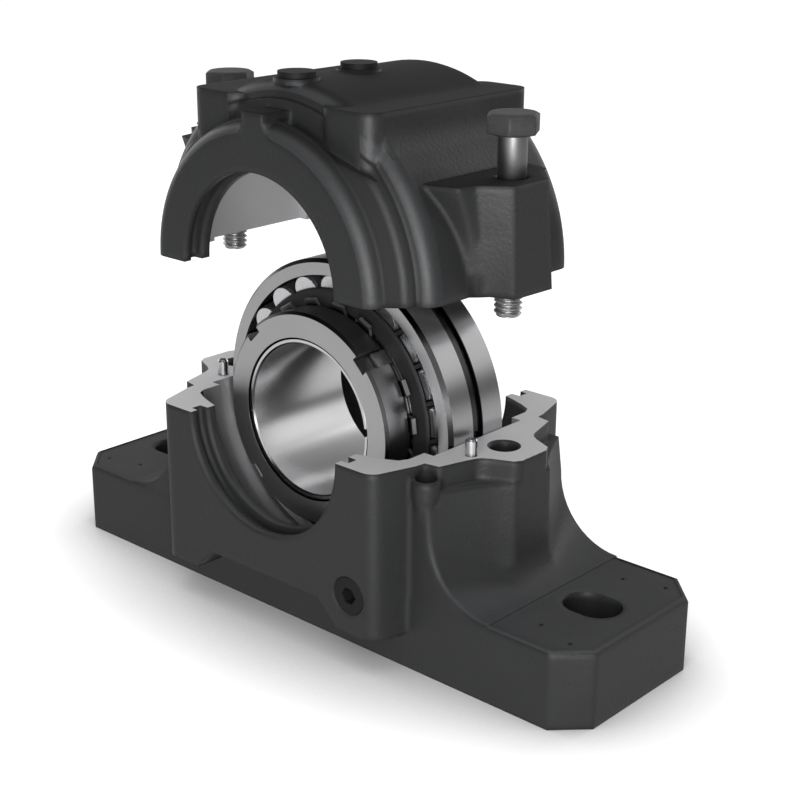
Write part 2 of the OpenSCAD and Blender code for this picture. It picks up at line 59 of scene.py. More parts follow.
PAINT = (0.0178, 0.0182, 0.0190)
PAINT_MOTTLE = (0.85, 1.20)
TOP_MOTTLE = (0.75, 1.30)
# Painted light: faces of the base that look up are painted lighter, as if lit from above.
BASE_TOP_PAINTED_LIGHT = 2.2
TOP_FROM = 0.60  # upward part of a normal at which a face starts to count as a top
TOP_FULL = 0.97
PAINT_ROUGHNESS = 0.38
PAINT_ROUGHNESS_SPREAD = 0.10
TOP_DULLER = 0.32
RINGS_DULLER = 0.55
RINGS_FROM = 0.0330  # distance from the middle at which the rings at both ends start
MOST_TONE = 2.0  # the colour ramp over the rings holds their tones as shares of this
PAINT_SPECULAR = 0.33
PEEL_GRAIN = 700.0
PEEL_GRAIN_DETAIL = 4.0
PEEL_WAVES = 45.0
PEEL_WAVES_DETAIL = 2.0
PEEL_WAVES_HEIGHT = 0.5
PEEL_TONE_SHARES = (0.3, 0.7)
PEEL_STRENGTH = 0.27
PEEL_HEIGHT = 0.0004

BARE_IRON = (0.63, 0.63, 0.64)
BORE_TONE = 0.90
BARE_ROUGHNESS = 0.60
BARE_PEEL = 0.15  # share of the paint's relief that is left on a machined face
PARTING_METALLIC = 0.30  # a milled face scatters light, so it mirrors less than the bore

WELD = 0.000002  # corners of the node's loose triangles closer than this are one
SOFT_EDGE = math.radians(28.0)  # edges that bend more than this stay sharp
AREA_WEIGHT = 80  # how much the large faces rule the smoothed normals
CAST_ROUND = 0.0036
CRISP_ROUND = 0.0001
CAST_ROUND_SAMPLES = 6


def socket(tree, sink, value):
    """Feeds a node's input from another node's output or from a plain value."""
    if isinstance(value, bpy.types.NodeSocket):
        tree.links.new(value, sink)
    else:
        sink.default_value = value


def maths(tree, operation, *values):
    """A Math node with its values set; gives its output."""
    node = tree.nodes.new("ShaderNodeMath")
    node.operation = operation
    for sink, value in zip(node.inputs, values):
        socket(tree, sink, value)
    return node.outputs[0]


def all_of(tree, *masks):
    """The share in which all of the masks hold."""
    share = masks[0]
    for mask in masks[1:]:
        share = maths(tree, "MULTIPLY", share, mask)
    return share


def blended(tree, share, low, high):
    """A colour between two colours by a share."""
    node = tree.nodes.new("ShaderNodeMix")
    node.data_type = "RGBA"
    socket(tree, node.inputs["Factor"], share)
    socket(tree, node.inputs["A"], low)
    socket(tree, node.inputs["B"], high)
    return node.outputs["Result"]


def shade(colour, tone=1.0):
    """A colour value for a socket, made lighter or darker by a tone."""
    return (*(part * tone for part in colour), 1.0)


def place(tree):
    """Object coordinates and their three parts."""
    where = tree.nodes.new("ShaderNodeTexCoord").outputs["Object"]
    parts = tree.nodes.new("ShaderNodeSeparateXYZ")
    tree.links.new(where, parts.inputs[0])
    return where, parts.outputs


def normal_parts(tree, kind):
    """The three parts of a face's normal, flat for True Normal and smoothed for Normal."""
    parts = tree.nodes.new("ShaderNodeSeparateXYZ")
    tree.links.new(tree.nodes.new("ShaderNodeNewGeometry").outputs[kind], parts.inputs[0])
    return parts.outputs


def from_shaft(tree, at, shaft_height):
    """Height above the shaft's axis and distance from it."""
    up = maths(tree, "SUBTRACT", at[2], shaft_height)
    across = maths(tree, "MULTIPLY", at[0], at[0])
    return up, maths(tree, "SQRT", maths(tree, "MULTIPLY_ADD", up, up, across))


def noise(tree, where, scale, detail):
    """Soft random tone of a given scale."""
    node = tree.nodes.new("ShaderNodeTexNoise")
    tree.links.new(where, node.inputs["Vector"])
    socket(tree, node.inputs["Scale"], scale)
    node.inputs["Detail"].default_value = detail
    return node.outputs["Fac"]


def bump(tree, height, strength, distance, normal):
    """A relief laid over a normal."""
    node = tree.nodes.new("ShaderNodeBump")
    node.inputs["Strength"].default_value = strength
    node.inputs["Distance"].default_value = distance
    tree.links.new(height, node.inputs["Height"])
    tree.links.new(normal, node.inputs["Normal"])
    return node.outputs[0]


def rounded(tree, radius, samples):
    """Normals that round a piece's edges to a radius."""
    node = tree.nodes.new("ShaderNodeBevel")
    node.samples = samples
    socket(tree, node.inputs["Radius"], radius)
    return node.outputs[0]


def group_tree(name, inputs, outputs):
    """An empty shader node group: inputs are (name, value), outputs are names."""
    tree = bpy.data.node_groups.new(name, "ShaderNodeTree")
    for label, value in inputs:
        made = tree.interface.new_socket(name=label, in_out="INPUT", socket_type="NodeSocketFloat")
        made.default_value = value
    for label in outputs:
        tree.interface.new_socket(name=label, in_out="OUTPUT", socket_type="NodeSocketFloat")
    return tree, tree.nodes.new("NodeGroupInput").outputs, tree.nodes.new("NodeGroupOutput").inputs


def machined_faces():
    """Mask of the faces that a cutter has touched: the parting face, and the seat with its shoulders."""
    tree, given, result = group_tree(
        "machined_faces",
        [("Parting Height", PARTING_HEIGHT), ("Shaft Height", SHAFT_HEIGHT), ("Facing", 1.0),
         ("Bare Half Width", SEAT_HALF_WIDTH)],
        ["Mask", "Parting"])
    at = place(tree)[1]
    normal = normal_parts(tree, "True Normal")
    off = maths(tree, "ABSOLUTE", maths(tree, "SUBTRACT", at[2], given["Parting Height"]))
    flat = maths(tree, "GREATER_THAN", maths(tree, "MULTIPLY", normal[2], given["Facing"]), SQUARE_ON)
    parting = all_of(tree, maths(tree, "LESS_THAN", off, PARTING_DEPTH), flat)
    up, reach = from_shaft(tree, at, given["Shaft Height"])
    inwards = maths(tree, "MULTIPLY_ADD", at[0], normal[0], maths(tree, "MULTIPLY", up, normal[2]))
    wall = maths(tree, "LESS_THAN", maths(tree, "DIVIDE", inwards, reach), BORE_INWARDS)
    shoulder = maths(tree, "GREATER_THAN", maths(tree, "ABSOLUTE", normal[1]), SQUARE_ON)
    within = maths(tree, "LESS_THAN", maths(tree, "ABSOLUTE", at[1]), given["Bare Half Width"])
    near = maths(tree, "LESS_THAN", reach, BORE_REACH)
    bored = all_of(tree, maths(tree, "MAXIMUM", wall, shoulder), within, near)
    tree.links.new(maths(tree, "MAXIMUM", parting, bored), result["Mask"])
    tree.links.new(parting, result["Parting"])
    return tree


def casting_skin():
    """Fine orange-peel of paint on sand-cast iron: a height and a slow change of tone."""
    tree, given, result = group_tree("casting_skin", [("Grain", PEEL_GRAIN)], ["Height", "Tone"])
    where = place(tree)[0]
    fine = noise(tree, where, given["Grain"], PEEL_GRAIN_DETAIL)
    slow = noise(tree, where, PEEL_WAVES, PEEL_WAVES_DETAIL)
    height = maths(tree, "MULTIPLY_ADD", slow, PEEL_WAVES_HEIGHT, fine)
    slow_tone = maths(tree, "MULTIPLY", slow, PEEL_TONE_SHARES[1])
    tone = maths(tree, "MULTIPLY_ADD", fine, PEEL_TONE_SHARES[0], slow_tone)
    tree.links.new(height, result["Height"])
    tree.links.new(tone, result["Tone"])
    return tree


MACHINED = machined_faces()
SKIN = casting_skin()


def placed_group(tree, group, **values):
    """A shader node group set into a material, with its inputs by name."""
    node = tree.nodes.new("ShaderNodeGroup")
    node.node_tree = group
    for name, value in values.items():
        socket(tree, node.inputs[name.replace("_", " ")], value)
    return node.outputs


def finish_named(name):
    """A new material that holds nothing but its shader."""
    material = bpy.data.materials.new(name)
    material.use_nodes = True
    tree = material.node_tree
    tree.nodes.clear()
    shader = tree.nodes.new("ShaderNodeBsdfPrincipled")
    tree.links.new(shader.outputs[0], tree.nodes.new("ShaderNodeOutputMaterial").inputs["Surface"])
    return material, tree, shader.inputs


def painted_light_by_radius(tree, at, shaft_height, stops):
    """Painted light and shade over the cast rings at both ends: the paint is lighter on the ridges and
    darker in the valleys, by the distance from the shaft.
    """
    reach = from_shaft(tree, at, shaft_height)[1]
    low = stops[0][0]
    high = stops[-1][0]
    ramp = tree.nodes.new("ShaderNodeValToRGB")
    share = maths(tree, "DIVIDE", maths(tree, "SUBTRACT", reach, low), high - low)
    tree.links.new(share, ramp.inputs["Fac"])
    stopped = ramp.color_ramp.elements
    stopped[1].position = 1.0
    for radius, tone in stops[1:-1]:
        stopped.new((radius - low) / (high - low))
    for element, (radius, tone) in zip(stopped, stops):
        element.color = (tone / MOST_TONE, tone / MOST_TONE, tone / MOST_TONE, 1.0)
    at_end = maths(tree, "GREATER_THAN", maths(tree, "ABSOLUTE", at[1]), RINGS_FROM)
    facing = maths(tree, "ABSOLUTE", normal_parts(tree, "True Normal")[1])
    at_end = all_of(tree, at_end, maths(tree, "LESS_THAN", facing, SQUARE_ON))
    change = maths(tree, "MULTIPLY_ADD", ramp.outputs["Color"], MOST_TONE, -1.0)
    return maths(tree, "MULTIPLY_ADD", change, at_end, 1.0)


def casting_finish(name, parting_height, shaft_height, facing, top_painted_light, ring_painted_light=None):
    """Satin paint with bare machined faces. Faces that look up are duller, and their paint carries painted
    light: a tone of its own, lighter on a lit top and darker on a top in shade.
    """
    material, tree, shader = finish_named(name)
    cut = placed_group(tree, MACHINED, Parting_Height=parting_height, Shaft_Height=shaft_height,
                       Facing=facing, Bare_Half_Width=SEAT_HALF_WIDTH)
    skin = placed_group(tree, SKIN, Grain=PEEL_GRAIN)
    rough = maths(tree, "MULTIPLY_ADD", skin["Tone"], PAINT_ROUGHNESS_SPREAD, PAINT_ROUGHNESS)
    # Painted light and shade over the cast rings: ridges lighter, valleys darker.
    if ring_painted_light:
        tone = painted_light_by_radius(tree, place(tree)[1], shaft_height, ring_painted_light)
        painted_light_share = maths(tree, "DIVIDE", tone, MOST_TONE)
        paint = blended(tree, painted_light_share, shade(PAINT, 0.0), shade(PAINT, MOST_TONE))
        duller = maths(tree, "MAXIMUM", maths(tree, "SUBTRACT", 1.0, tone), 0.0)
        rough = maths(tree, "MULTIPLY_ADD", duller, RINGS_DULLER, rough)
    else:
        paint = blended(tree, skin["Tone"], shade(PAINT, PAINT_MOTTLE[0]), shade(PAINT, PAINT_MOTTLE[1]))
    # Painted light and shade on the faces that look up.
    top = blended(tree, skin["Tone"], shade(PAINT, TOP_MOTTLE[0] * top_painted_light),
                  shade(PAINT, TOP_MOTTLE[1] * top_painted_light))
    looks_up = tree.nodes.new("ShaderNodeMapRange")
    looks_up.interpolation_type = "SMOOTHSTEP"
    tree.links.new(normal_parts(tree, "Normal")[2], looks_up.inputs["Value"])
    looks_up.inputs["From Min"].default_value = TOP_FROM
    looks_up.inputs["From Max"].default_value = TOP_FULL
    level = looks_up.outputs["Result"]
    paint = blended(tree, level, paint, top)
    rough = maths(tree, "MULTIPLY_ADD", level, TOP_DULLER, rough)
    iron = blended(tree, cut["Parting"], shade(BARE_IRON, BORE_TONE), shade(BARE_IRON))
    tree.links.new(blended(tree, cut["Mask"], paint, iron), shader["Base Color"])
    metallic = maths(tree, "MULTIPLY_ADD", cut["Parting"], PARTING_METALLIC - 1.0, 1.0)
    tree.links.new(all_of(tree, cut["Mask"], metallic), shader["Metallic"])
    bare = maths(tree, "MULTIPLY", cut["Mask"], maths(tree, "SUBTRACT", BARE_ROUGHNESS, rough))
    tree.links.new(maths(tree, "ADD", rough, bare), shader["Roughness"])
    shader["Specular IOR Level"].default_value = PAINT_SPECULAR
    radius = maths(tree, "MULTIPLY_ADD", cut["Mask"], CRISP_ROUND - CAST_ROUND, CAST_ROUND)
    edges = rounded(tree, radius, CAST_ROUND_SAMPLES)
    peel_left = maths(tree, "MULTIPLY_ADD", cut["Mask"], BARE_PEEL - 1.0, 1.0)
    peel = maths(tree, "MULTIPLY", skin["Height"], peel_left)
    tree.links.new(bump(tree, peel, PEEL_STRENGTH, PEEL_HEIGHT, edges), shader["Normal"])
    return material


def added(name, data):
    """A new object, linked into the scene."""
    made = bpy.data.objects.new(name, data)
    bpy.context.scene.collection.objects.link(made)
    return made


def crease(shape):
    """Keeps the sharp edges of a smooth-shaded shape sharp."""
    for edge in shape.edges:
        edge.smooth = len(edge.link_faces) == 2 and edge.calc_face_angle(0.0) < SOFT_EDGE


def casting_copy(node_name, piece_name, material):
    """A casting's skin: the node's triangles joined into one mesh, smoothly shaded where it is rounded."""
    skin = bmesh.new()
    skin.from_mesh(nodes[node_name].data)
    bmesh.ops.remove_doubles(skin, verts=skin.verts, dist=WELD)
    for face in skin.faces:
        face.smooth = True
        face.material_index = 0
    crease(skin)
    mesh = bpy.data.meshes.new(piece_name)
    skin.to_mesh(mesh)
    skin.free()
    if "custom_normal" in mesh.attributes:
        mesh.attributes.remove(mesh.attributes["custom_normal"])
    mesh.materials.append(material)
    piece = added(piece_name, mesh)
    weighted = piece.modifiers.new("even_shading", "WEIGHTED_NORMAL")
    weighted.keep_sharp = True
    weighted.weight = AREA_WEIGHT
    return piece


base_finish = casting_finish("base_paint_and_bare_iron", PARTING_HEIGHT, SHAFT_HEIGHT, 1.0, BASE_TOP_PAINTED_LIGHT)
base_casting = casting_copy("housing_base", "base_casting", base_finish)
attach(base_casting, "housing")
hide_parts("housing_base")

# --- Drain plug and spring pins ---------------------------------------------------------------------------
# The drain plug is a black socket-head plug, screwed in low in the front wall. The pins are rolled from
# bright spring steel and pressed into the parting face, where they locate the cap.

BLACK = (0.007, 0.007, 0.0075)
BLACK_ROUGHNESS = 0.55
BLACK_MOTTLE = (0.7, 1.4)
BLACK_ROUGHNESS_SPREAD = 0.15
BLACK_SPECULAR = 0.22
BLACK_GRAIN = 1200.0
BLACK_GRAIN_DETAIL = 3.0
BLACK_RELIEF = 0.15
BLACK_RELIEF_HEIGHT = 0.0002
BLACK_ROUND = 0.0004

ZINC = (0.72, 0.72, 0.73)
STEEL_ROUND = 0.0001
ROUND_SAMPLES = 4
END_FACE = 0.93  # part of a normal along the shaft, above which a face is an end face
CHAMFER_FACE = 0.35  # the same for a chamfer
GROOVE_FROM = 0.0570  # radius outside which the outer ring's groove lies
GROOVE_TONE = 0.12
CLOUDS = 60.0
CLOUD_TONE = 0.92
STEEL_DETAIL = 2.0
# Painted shade in the steel's grooves and gaps: how sharply it darkens, and its samples.
CREVICE_SHADE_POWER = 1.6
CREVICE_SHADE_SAMPLES = 6
MARK_SPREAD = 0.14
MARK_HEIGHT = 0.00005


def fine_grain():
    """Even fine grain of a blackened or moulded surface."""
    tree, given, result = group_tree("fine_grain", [("Scale", BLACK_GRAIN)], ["Grain"])
    tree.links.new(noise(tree, place(tree)[0], given["Scale"], BLACK_GRAIN_DETAIL), result["Grain"])
    return tree


def turned_steel():
    """Marks that a tool leaves round the shaft, clouds in the steel, and a tone for each kind of face."""
    tree, given, result = group_tree(
        "turned_steel",
        [("Shaft Height", SHAFT_HEIGHT), ("Mark Scale", 3000.0), ("Radial Share", 0.0), ("Edge Tone", 1.0),
         ("Round Tone", 1.0), ("Groove Half Width", 0.0)],
        ["Marks", "Clouds", "Tone"])
    where, at = place(tree)
    reach = from_shaft(tree, at, given["Shaft Height"])[1]
    facing = maths(tree, "ABSOLUTE", normal_parts(tree, "True Normal")[1])
    flat = maths(tree, "GREATER_THAN", facing, END_FACE)
    slanted = maths(tree, "SUBTRACT", maths(tree, "GREATER_THAN", facing, CHAMFER_FACE), flat)
    edge_change = maths(tree, "SUBTRACT", given["Edge Tone"], given["Round Tone"])
    end_change = maths(tree, "SUBTRACT", 1.0, given["Round Tone"])
    tone = maths(tree, "MULTIPLY_ADD", slanted, edge_change, given["Round Tone"])
    tone = maths(tree, "MULTIPLY_ADD", flat, end_change, tone)
    middle = maths(tree, "LESS_THAN", maths(tree, "ABSOLUTE", at[1]), given["Groove Half Width"])
    groove = all_of(tree, middle, maths(tree, "GREATER_THAN", reach, GROOVE_FROM))
    tone = maths(tree, "MULTIPLY", tone, maths(tree, "MULTIPLY_ADD", groove, GROOVE_TONE - 1.0, 1.0))
    lines = tree.nodes.new("ShaderNodeCombineXYZ")
    along = maths(tree, "ADD", maths(tree, "MULTIPLY", reach, given["Radial Share"]), at[1])
    tree.links.new(along, lines.inputs[0])
    tree.links.new(noise(tree, lines.outputs[0], given["Mark Scale"], STEEL_DETAIL), result["Marks"])
    tree.links.new(noise(tree, where, CLOUDS, STEEL_DETAIL), result["Clouds"])
    tree.links.new(tone, result["Tone"])
    return tree


FINE_GRAIN = fine_grain()
TURNED_STEEL = turned_steel()


def black_finish(name, colour, roughness):
    """Blackened or dark plastic surface with a fine grain."""
    material, tree, shader = finish_named(name)
    grain = placed_group(tree, FINE_GRAIN, Scale=BLACK_GRAIN)["Grain"]
    mottled = blended(tree, grain, shade(colour, BLACK_MOTTLE[0]), shade(colour, BLACK_MOTTLE[1]))
    tree.links.new(mottled, shader["Base Color"])
    rough = maths(tree, "MULTIPLY_ADD", grain, BLACK_ROUGHNESS_SPREAD, roughness)
    tree.links.new(rough, shader["Roughness"])
    shader["Specular IOR Level"].default_value = BLACK_SPECULAR
    edges = rounded(tree, BLACK_ROUND, ROUND_SAMPLES)
    tree.links.new(bump(tree, grain, BLACK_RELIEF, BLACK_RELIEF_HEIGHT, edges), shader["Normal"])
    return material


def steel_finish(name, colour, roughness, marks, radial, painted_shade_reach=0.0015, edge_tone=1.0, round_tone=1.0,
                 groove=0.0, relief=0.12):
    """Bare steel with fine turning marks round the shaft, and painted shade that darkens it in its grooves
    and in the gaps between parts.

    The marks have a scale and a share that runs outwards, and the painted shade has a reach. Chamfers, faces
    round the shaft and a groove about the middle, by its half width, can have a tone of their own.
    """
    material, tree, shader = finish_named(name)
    steel = placed_group(tree, TURNED_STEEL, Shaft_Height=SHAFT_HEIGHT, Mark_Scale=marks,
                         Radial_Share=radial, Edge_Tone=edge_tone, Round_Tone=round_tone,
                         Groove_Half_Width=groove)
    # Painted shade: ambient occlusion darkens the steel's colour in grooves and in the gaps between parts.
    painted_crevice_shade = tree.nodes.new("ShaderNodeAmbientOcclusion")
    painted_crevice_shade.samples = CREVICE_SHADE_SAMPLES
    painted_crevice_shade.inputs["Distance"].default_value = painted_shade_reach
    clear = maths(tree, "MULTIPLY", maths(tree, "POWER", painted_crevice_shade.outputs["AO"], CREVICE_SHADE_POWER), steel["Tone"])
    clean = blended(tree, steel["Clouds"], shade(colour, CLOUD_TONE), shade(colour))
    tree.links.new(blended(tree, clear, shade(colour, 0.0), clean), shader["Base Color"])
    rough = maths(tree, "MULTIPLY_ADD", steel["Marks"], MARK_SPREAD, roughness - MARK_SPREAD / 2)
    tree.links.new(rough, shader["Roughness"])
    shader["Metallic"].default_value = 1.0
    edges = rounded(tree, STEEL_ROUND, ROUND_SAMPLES)
    tree.links.new(bump(tree, steel["Marks"], relief, MARK_HEIGHT, edges), shader["Normal"])
    return material


def dress(names, material):
    """Gives CAD nodes their finish."""
    for name in names:
        for slot in nodes[name].material_slots:
            slot.material = material


black_plug = black_finish("black_plug", BLACK, BLACK_ROUGHNESS)
dress(["drain_plug"], black_plug)
spring_steel = steel_finish("spring_steel", ZINC, roughness=0.26, marks=4000.0, radial=0.0)
dress(["dowel_pin_left", "dowel_pin_right"], spring_steel)

# --- Bearing ----------------------------------------------------------------------------------------------
# Outer ring, inner ring, guide ring and barrel rollers are hardened steel, ground to a fine bright surface.
# Each roller row runs in its own dark treated cage.

GROUND = (0.55, 0.55, 0.56)
ROLLER_GROUND = tuple(part * 1.5 for part in GROUND)
CAGE_BLACK = (0.016, 0.016, 0.017)
CAGE_ROUGHNESS = 0.42
OIL_GROOVE_HALF_WIDTH = 0.0029

ring_steel = steel_finish("ground_ring_steel", GROUND, roughness=0.22, marks=3500.0, radial=1.0,
                          edge_tone=0.03, round_tone=1.25, groove=OIL_GROOVE_HALF_WIDTH)
dress(["outer_ring", "inner_ring", "guide_ring"], ring_steel)
roller_steel = steel_finish("ground_roller_steel", ROLLER_GROUND, roughness=0.28, marks=2500.0, radial=0.4,
                            painted_shade_reach=0.0008)
roller_names = [name for name in nodes if name.startswith("roller_")]
dress(roller_names, roller_steel)
cage_black = black_finish("cage_black", CAGE_BLACK, CAGE_ROUGHNESS)
dress(["cage_front", "cage_rear"], cage_black)

# --- Adapter sleeve, lock nut and washer ------------------------------------------------------------------
# The sleeve is turned from steel and slit along its length. The nut draws the inner ring up its taper, and a
# tab of the pressed washer, bent into a slot of the nut, keeps it from turning.

TURNED = (0.60, 0.60, 0.61)
SLEEVE = (0.84, 0.84, 0.85)
PRESSED = tuple(part * 0.60 for part in TURNED)

nut_steel = steel_finish("nut_steel", TURNED, roughness=0.40, marks=2200.0, radial=1.0, painted_shade_reach=0.0012,
                         edge_tone=0.03, round_tone=0.20)
dress(["lock_nut"], nut_steel)
sleeve_steel = steel_finish("sleeve_steel", SLEEVE, roughness=0.23, marks=4000.0, radial=1.0, painted_shade_reach=0.0006,
                            edge_tone=0.12, relief=0.02)
dress(["adapter_sleeve"], sleeve_steel)
washer_steel = steel_finish("washer_steel", PRESSED, roughness=0.38, marks=900.0, radial=0.5)
dress(["lock_washer"], washer_steel)

# --- Cap --------------------------------------------------------------------------------------------------
# The cap is cast and painted like the base, and milled and bored on its parting face and seat. It hangs
# 60 mm above its place, as the housing is shown open.

CAP_LIFT = 0.060
# Painted shade: faces of the cap that look up are painted darker, as if they lay in shade.
CAP_TOP_PAINTED_SHADE = 0.30
# Painted light and shade by the distance from the shaft: tones above one light the ridges, tones below one
# shade the valleys.
RING_PAINTED_LIGHT_STOPS = ((0.0500, 1.0), (0.0525, 1.75), (0.0562, 1.75), (0.0578, 0.45), (0.0612, 0.45), (0.0626, 1.15),
              (0.0634, 1.15), (0.0640, 0.40), (0.0647, 0.40), (0.0658, 1.95), (0.0690, 1.95), (0.0705, 1.0))

cap_finish = casting_finish("cap_paint_and_bare_iron", PARTING_HEIGHT + CAP_LIFT, SHAFT_HEIGHT + CAP_LIFT,
                            -1.0, CAP_TOP_PAINTED_SHADE, RING_PAINTED_LIGHT_STOPS)
cap_casting = casting_copy("housing_cap", "cap_casting", cap_finish)
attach(cap_casting, "cap")
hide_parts("housing_cap")

# --- Grease plugs -----------------------------------------------------------------------------------------
# Two flat black plugs sit in the grease holes drilled in the cap's crown and close them. They share the
# drain plug's finish.

dress(["grease_plug_centre", "grease_plug_front"], black_plug)

# --- Cap bolts --------------------------------------------------------------------------------------------
# Two steel bolts with hexagon heads hold the cap down. The forged heads are dark like the casting, the
# shanks are bright, and the lower ends carry a rolled thread.

BOLT_X = 0.0723
BOLT_UNDER_HEAD = 0.19505
BOLT_RADIUS = 0.00520
BOLT_LENGTH = 0.065
BOLT_AROUND = 96
SHANK_LAP = 0.0002  # how far the shank reaches into the head and the thread
SHANK_NECK = 0.0005
HEAD_FLATS = 0.017
HEAD_HEIGHT = 0.0075
HEAD_FACE = HEAD_FLATS / 2 * 0.96
HEAD_FACE_MIDDLE = HEAD_FACE * 0.6
HEAD_SLOPE = math.radians(30)
WASHER_FACE = (HEAD_FLATS / 2 * 0.93, HEAD_FLATS / 2 * 0.94)
WASHER_FACE_HEIGHT = 0.0004
EDGE_BREAK = 0.0003
THREAD_LENGTH = 0.036
THREAD_PITCH = 0.0020
THREAD_DEPTH = 0.0011
THREAD_FLANK = 1.25  # above 1 the flanks are steeper and the roots flat
THREAD_CHAMFER = 0.0012
THREAD_AROUND = 48
THREAD_STEPS = 164
TURNS_BELOW = 40.0  # whole turns added so that the count stays above zero
HEAD_DARK = (0.040, 0.040, 0.041)
SHANK_TONE = 0.32
THREAD_TONE = 0.85
SHANK_INDEX = 0
HEAD_INDEX = 1
THREAD_INDEX = 2

shank_zinc = tuple(part * SHANK_TONE for part in ZINC)
thread_zinc = tuple(part * THREAD_TONE for part in ZINC)
bolt_steel = steel_finish("bolt_steel", shank_zinc, roughness=0.46, marks=3000.0, radial=0.0, painted_shade_reach=0.0004)
thread_steel = steel_finish("thread_steel", thread_zinc, roughness=0.40, marks=3000.0, radial=0.0,
                            painted_shade_reach=0.0016)
head_dark = black_finish("bolt_head_dark", HEAD_DARK, roughness=0.40)


def rolled_thread():
    """Geometry Nodes tree: a rod whose surface is pressed into a helical thread, chamfered at its tip."""
    tree = bpy.data.node_groups.new("rolled_thread", "GeometryNodeTree")
    add = tree.interface.new_socket
    add(name="Geometry", in_out="INPUT", socket_type="NodeSocketGeometry")
    for label, value in (("Radius", BOLT_RADIUS), ("Length", THREAD_LENGTH), ("Pitch", THREAD_PITCH),
                         ("Depth", THREAD_DEPTH)):
        add(name=label, in_out="INPUT", socket_type="NodeSocketFloat").default_value = value
    add(name="Steel", in_out="INPUT", socket_type="NodeSocketMaterial")
    add(name="Geometry", in_out="OUTPUT", socket_type="NodeSocketGeometry")
    given = tree.nodes.new("NodeGroupInput").outputs

    def calc(operation, *values):
        return maths(tree, operation, *values)

    rod = tree.nodes.new("GeometryNodeMeshCylinder")
    rod.inputs["Vertices"].default_value = THREAD_AROUND
    rod.inputs["Side Segments"].default_value = THREAD_STEPS
    tree.links.new(given["Radius"], rod.inputs["Radius"])
    tree.links.new(given["Length"], rod.inputs["Depth"])
    split = tree.nodes.new("ShaderNodeSeparateXYZ")
    tree.links.new(tree.nodes.new("GeometryNodeInputPosition").outputs[0], split.inputs[0])
    at = split.outputs
    turn = calc("DIVIDE", calc("ARCTAN2", at[1], at[0]), 2.0 * math.pi)
    turns = calc("ADD", calc("DIVIDE", at[2], given["Pitch"]), calc("ADD", turn, TURNS_BELOW))
    wave = calc("ABSOLUTE", calc("MULTIPLY_ADD", calc("FRACT", turns), 2.0, -1.0))
    press = calc("MINIMUM", calc("MULTIPLY", wave, THREAD_FLANK), 1.0)
    half = calc("MULTIPLY", given["Length"], 0.5)
    from_top = calc("SUBTRACT", half, at[2])
    from_tip = calc("ADD", half, at[2])
    run_in = calc("MINIMUM", calc("DIVIDE", from_top, given["Pitch"]), 1.0)
    cut = calc("MULTIPLY", calc("MULTIPLY", press, given["Depth"]), run_in)
    chamfer = calc("MAXIMUM", calc("SUBTRACT", THREAD_CHAMFER, from_tip), 0.0)
    inwards = calc("DIVIDE", calc("MAXIMUM", cut, chamfer), given["Radius"])
    moved = tree.nodes.new("ShaderNodeCombineXYZ")
    tree.links.new(calc("MULTIPLY", calc("MULTIPLY", at[0], inwards), -1.0), moved.inputs[0])
    tree.links.new(calc("MULTIPLY", calc("MULTIPLY", at[1], inwards), -1.0), moved.inputs[1])
    pressed = tree.nodes.new("GeometryNodeSetPosition")
    tree.links.new(rod.outputs["Mesh"], pressed.inputs["Geometry"])
    tree.links.new(moved.outputs[0], pressed.inputs["Offset"])
    real = tree.nodes.new("GeometryNodeRealizeInstances")
    tree.links.new(pressed.outputs[0], real.inputs[0])
    finish = tree.nodes.new("GeometryNodeSetMaterial")
    tree.links.new(real.outputs[0], finish.inputs["Geometry"])
    tree.links.new(given["Steel"], finish.inputs["Material"])
    tree.links.new(finish.outputs[0], tree.nodes.new("NodeGroupOutput").inputs[0])
    return tree


def applied_tree(tree, values):
    """The plain mesh that a Geometry Nodes tree gives for named input values."""
    carrier = added("carrier", bpy.data.meshes.new("carrier"))
    modifier = carrier.modifiers.new("tree", "NODES")
    modifier.node_group = tree
    for item in tree.interface.items_tree:
        if item.item_type == "SOCKET" and item.in_out == "INPUT" and item.name in values:
            modifier[item.identifier] = values[item.name]
    graph = bpy.context.evaluated_depsgraph_get()
    mesh = bpy.data.meshes.new_from_object(carrier.evaluated_get(graph))
    bpy.data.objects.remove(carrier)
    return mesh


def rings_joined(shape, rings, material_index):
    """Skins a list of closed rings of points, and closes both ends with a fan."""
    rows = [[shape.verts.new(point) for point in ring] for ring in rings]
    count = len(rows[0])
    made = []
    for low, high in zip(rows, rows[1:]):
        for i in range(count):
            j = (i + 1) % count
            made.append(shape.faces.new((low[i], low[j], high[j], high[i])))
    for row, turned in ((rows[0], True), (rows[-1], False)):
        centre = shape.verts.new(sum((v.co for v in row), Vector()) / count)
        for i in range(count):
            j = (i + 1) % count
            made.append(shape.faces.new((row[j], row[i], centre) if turned else (row[i], row[j], centre)))
    for face in made:
        face.material_index = material_index
        face.smooth = True


def circle(z, radius):
    """A ring of points round the bolt's axis."""
    turns = [i * 2.0 * math.pi / BOLT_AROUND + math.pi / 6 for i in range(BOLT_AROUND)]
    return [Vector((radius * math.cos(turn), radius * math.sin(turn), z)) for turn in turns]


def hexagon(z, shrink=0.0, corners_turned=False):
    """A ring of points round a hexagon, with its corners sloping down where they are turned off."""
    ring = []
    for i in range(BOLT_AROUND):
        turn = i * 2.0 * math.pi / BOLT_AROUND
        sixth = (turn + math.pi / 6) % (math.pi / 3) - math.pi / 6
        radius = HEAD_FLATS / 2 / math.cos(sixth) - shrink
        drop = max(radius - HEAD_FACE, 0.0) * math.tan(HEAD_SLOPE) if corners_turned else 0.0
        turn += math.pi / 6
        ring.append(Vector((radius * math.cos(turn), radius * math.sin(turn), z - drop)))
    return ring


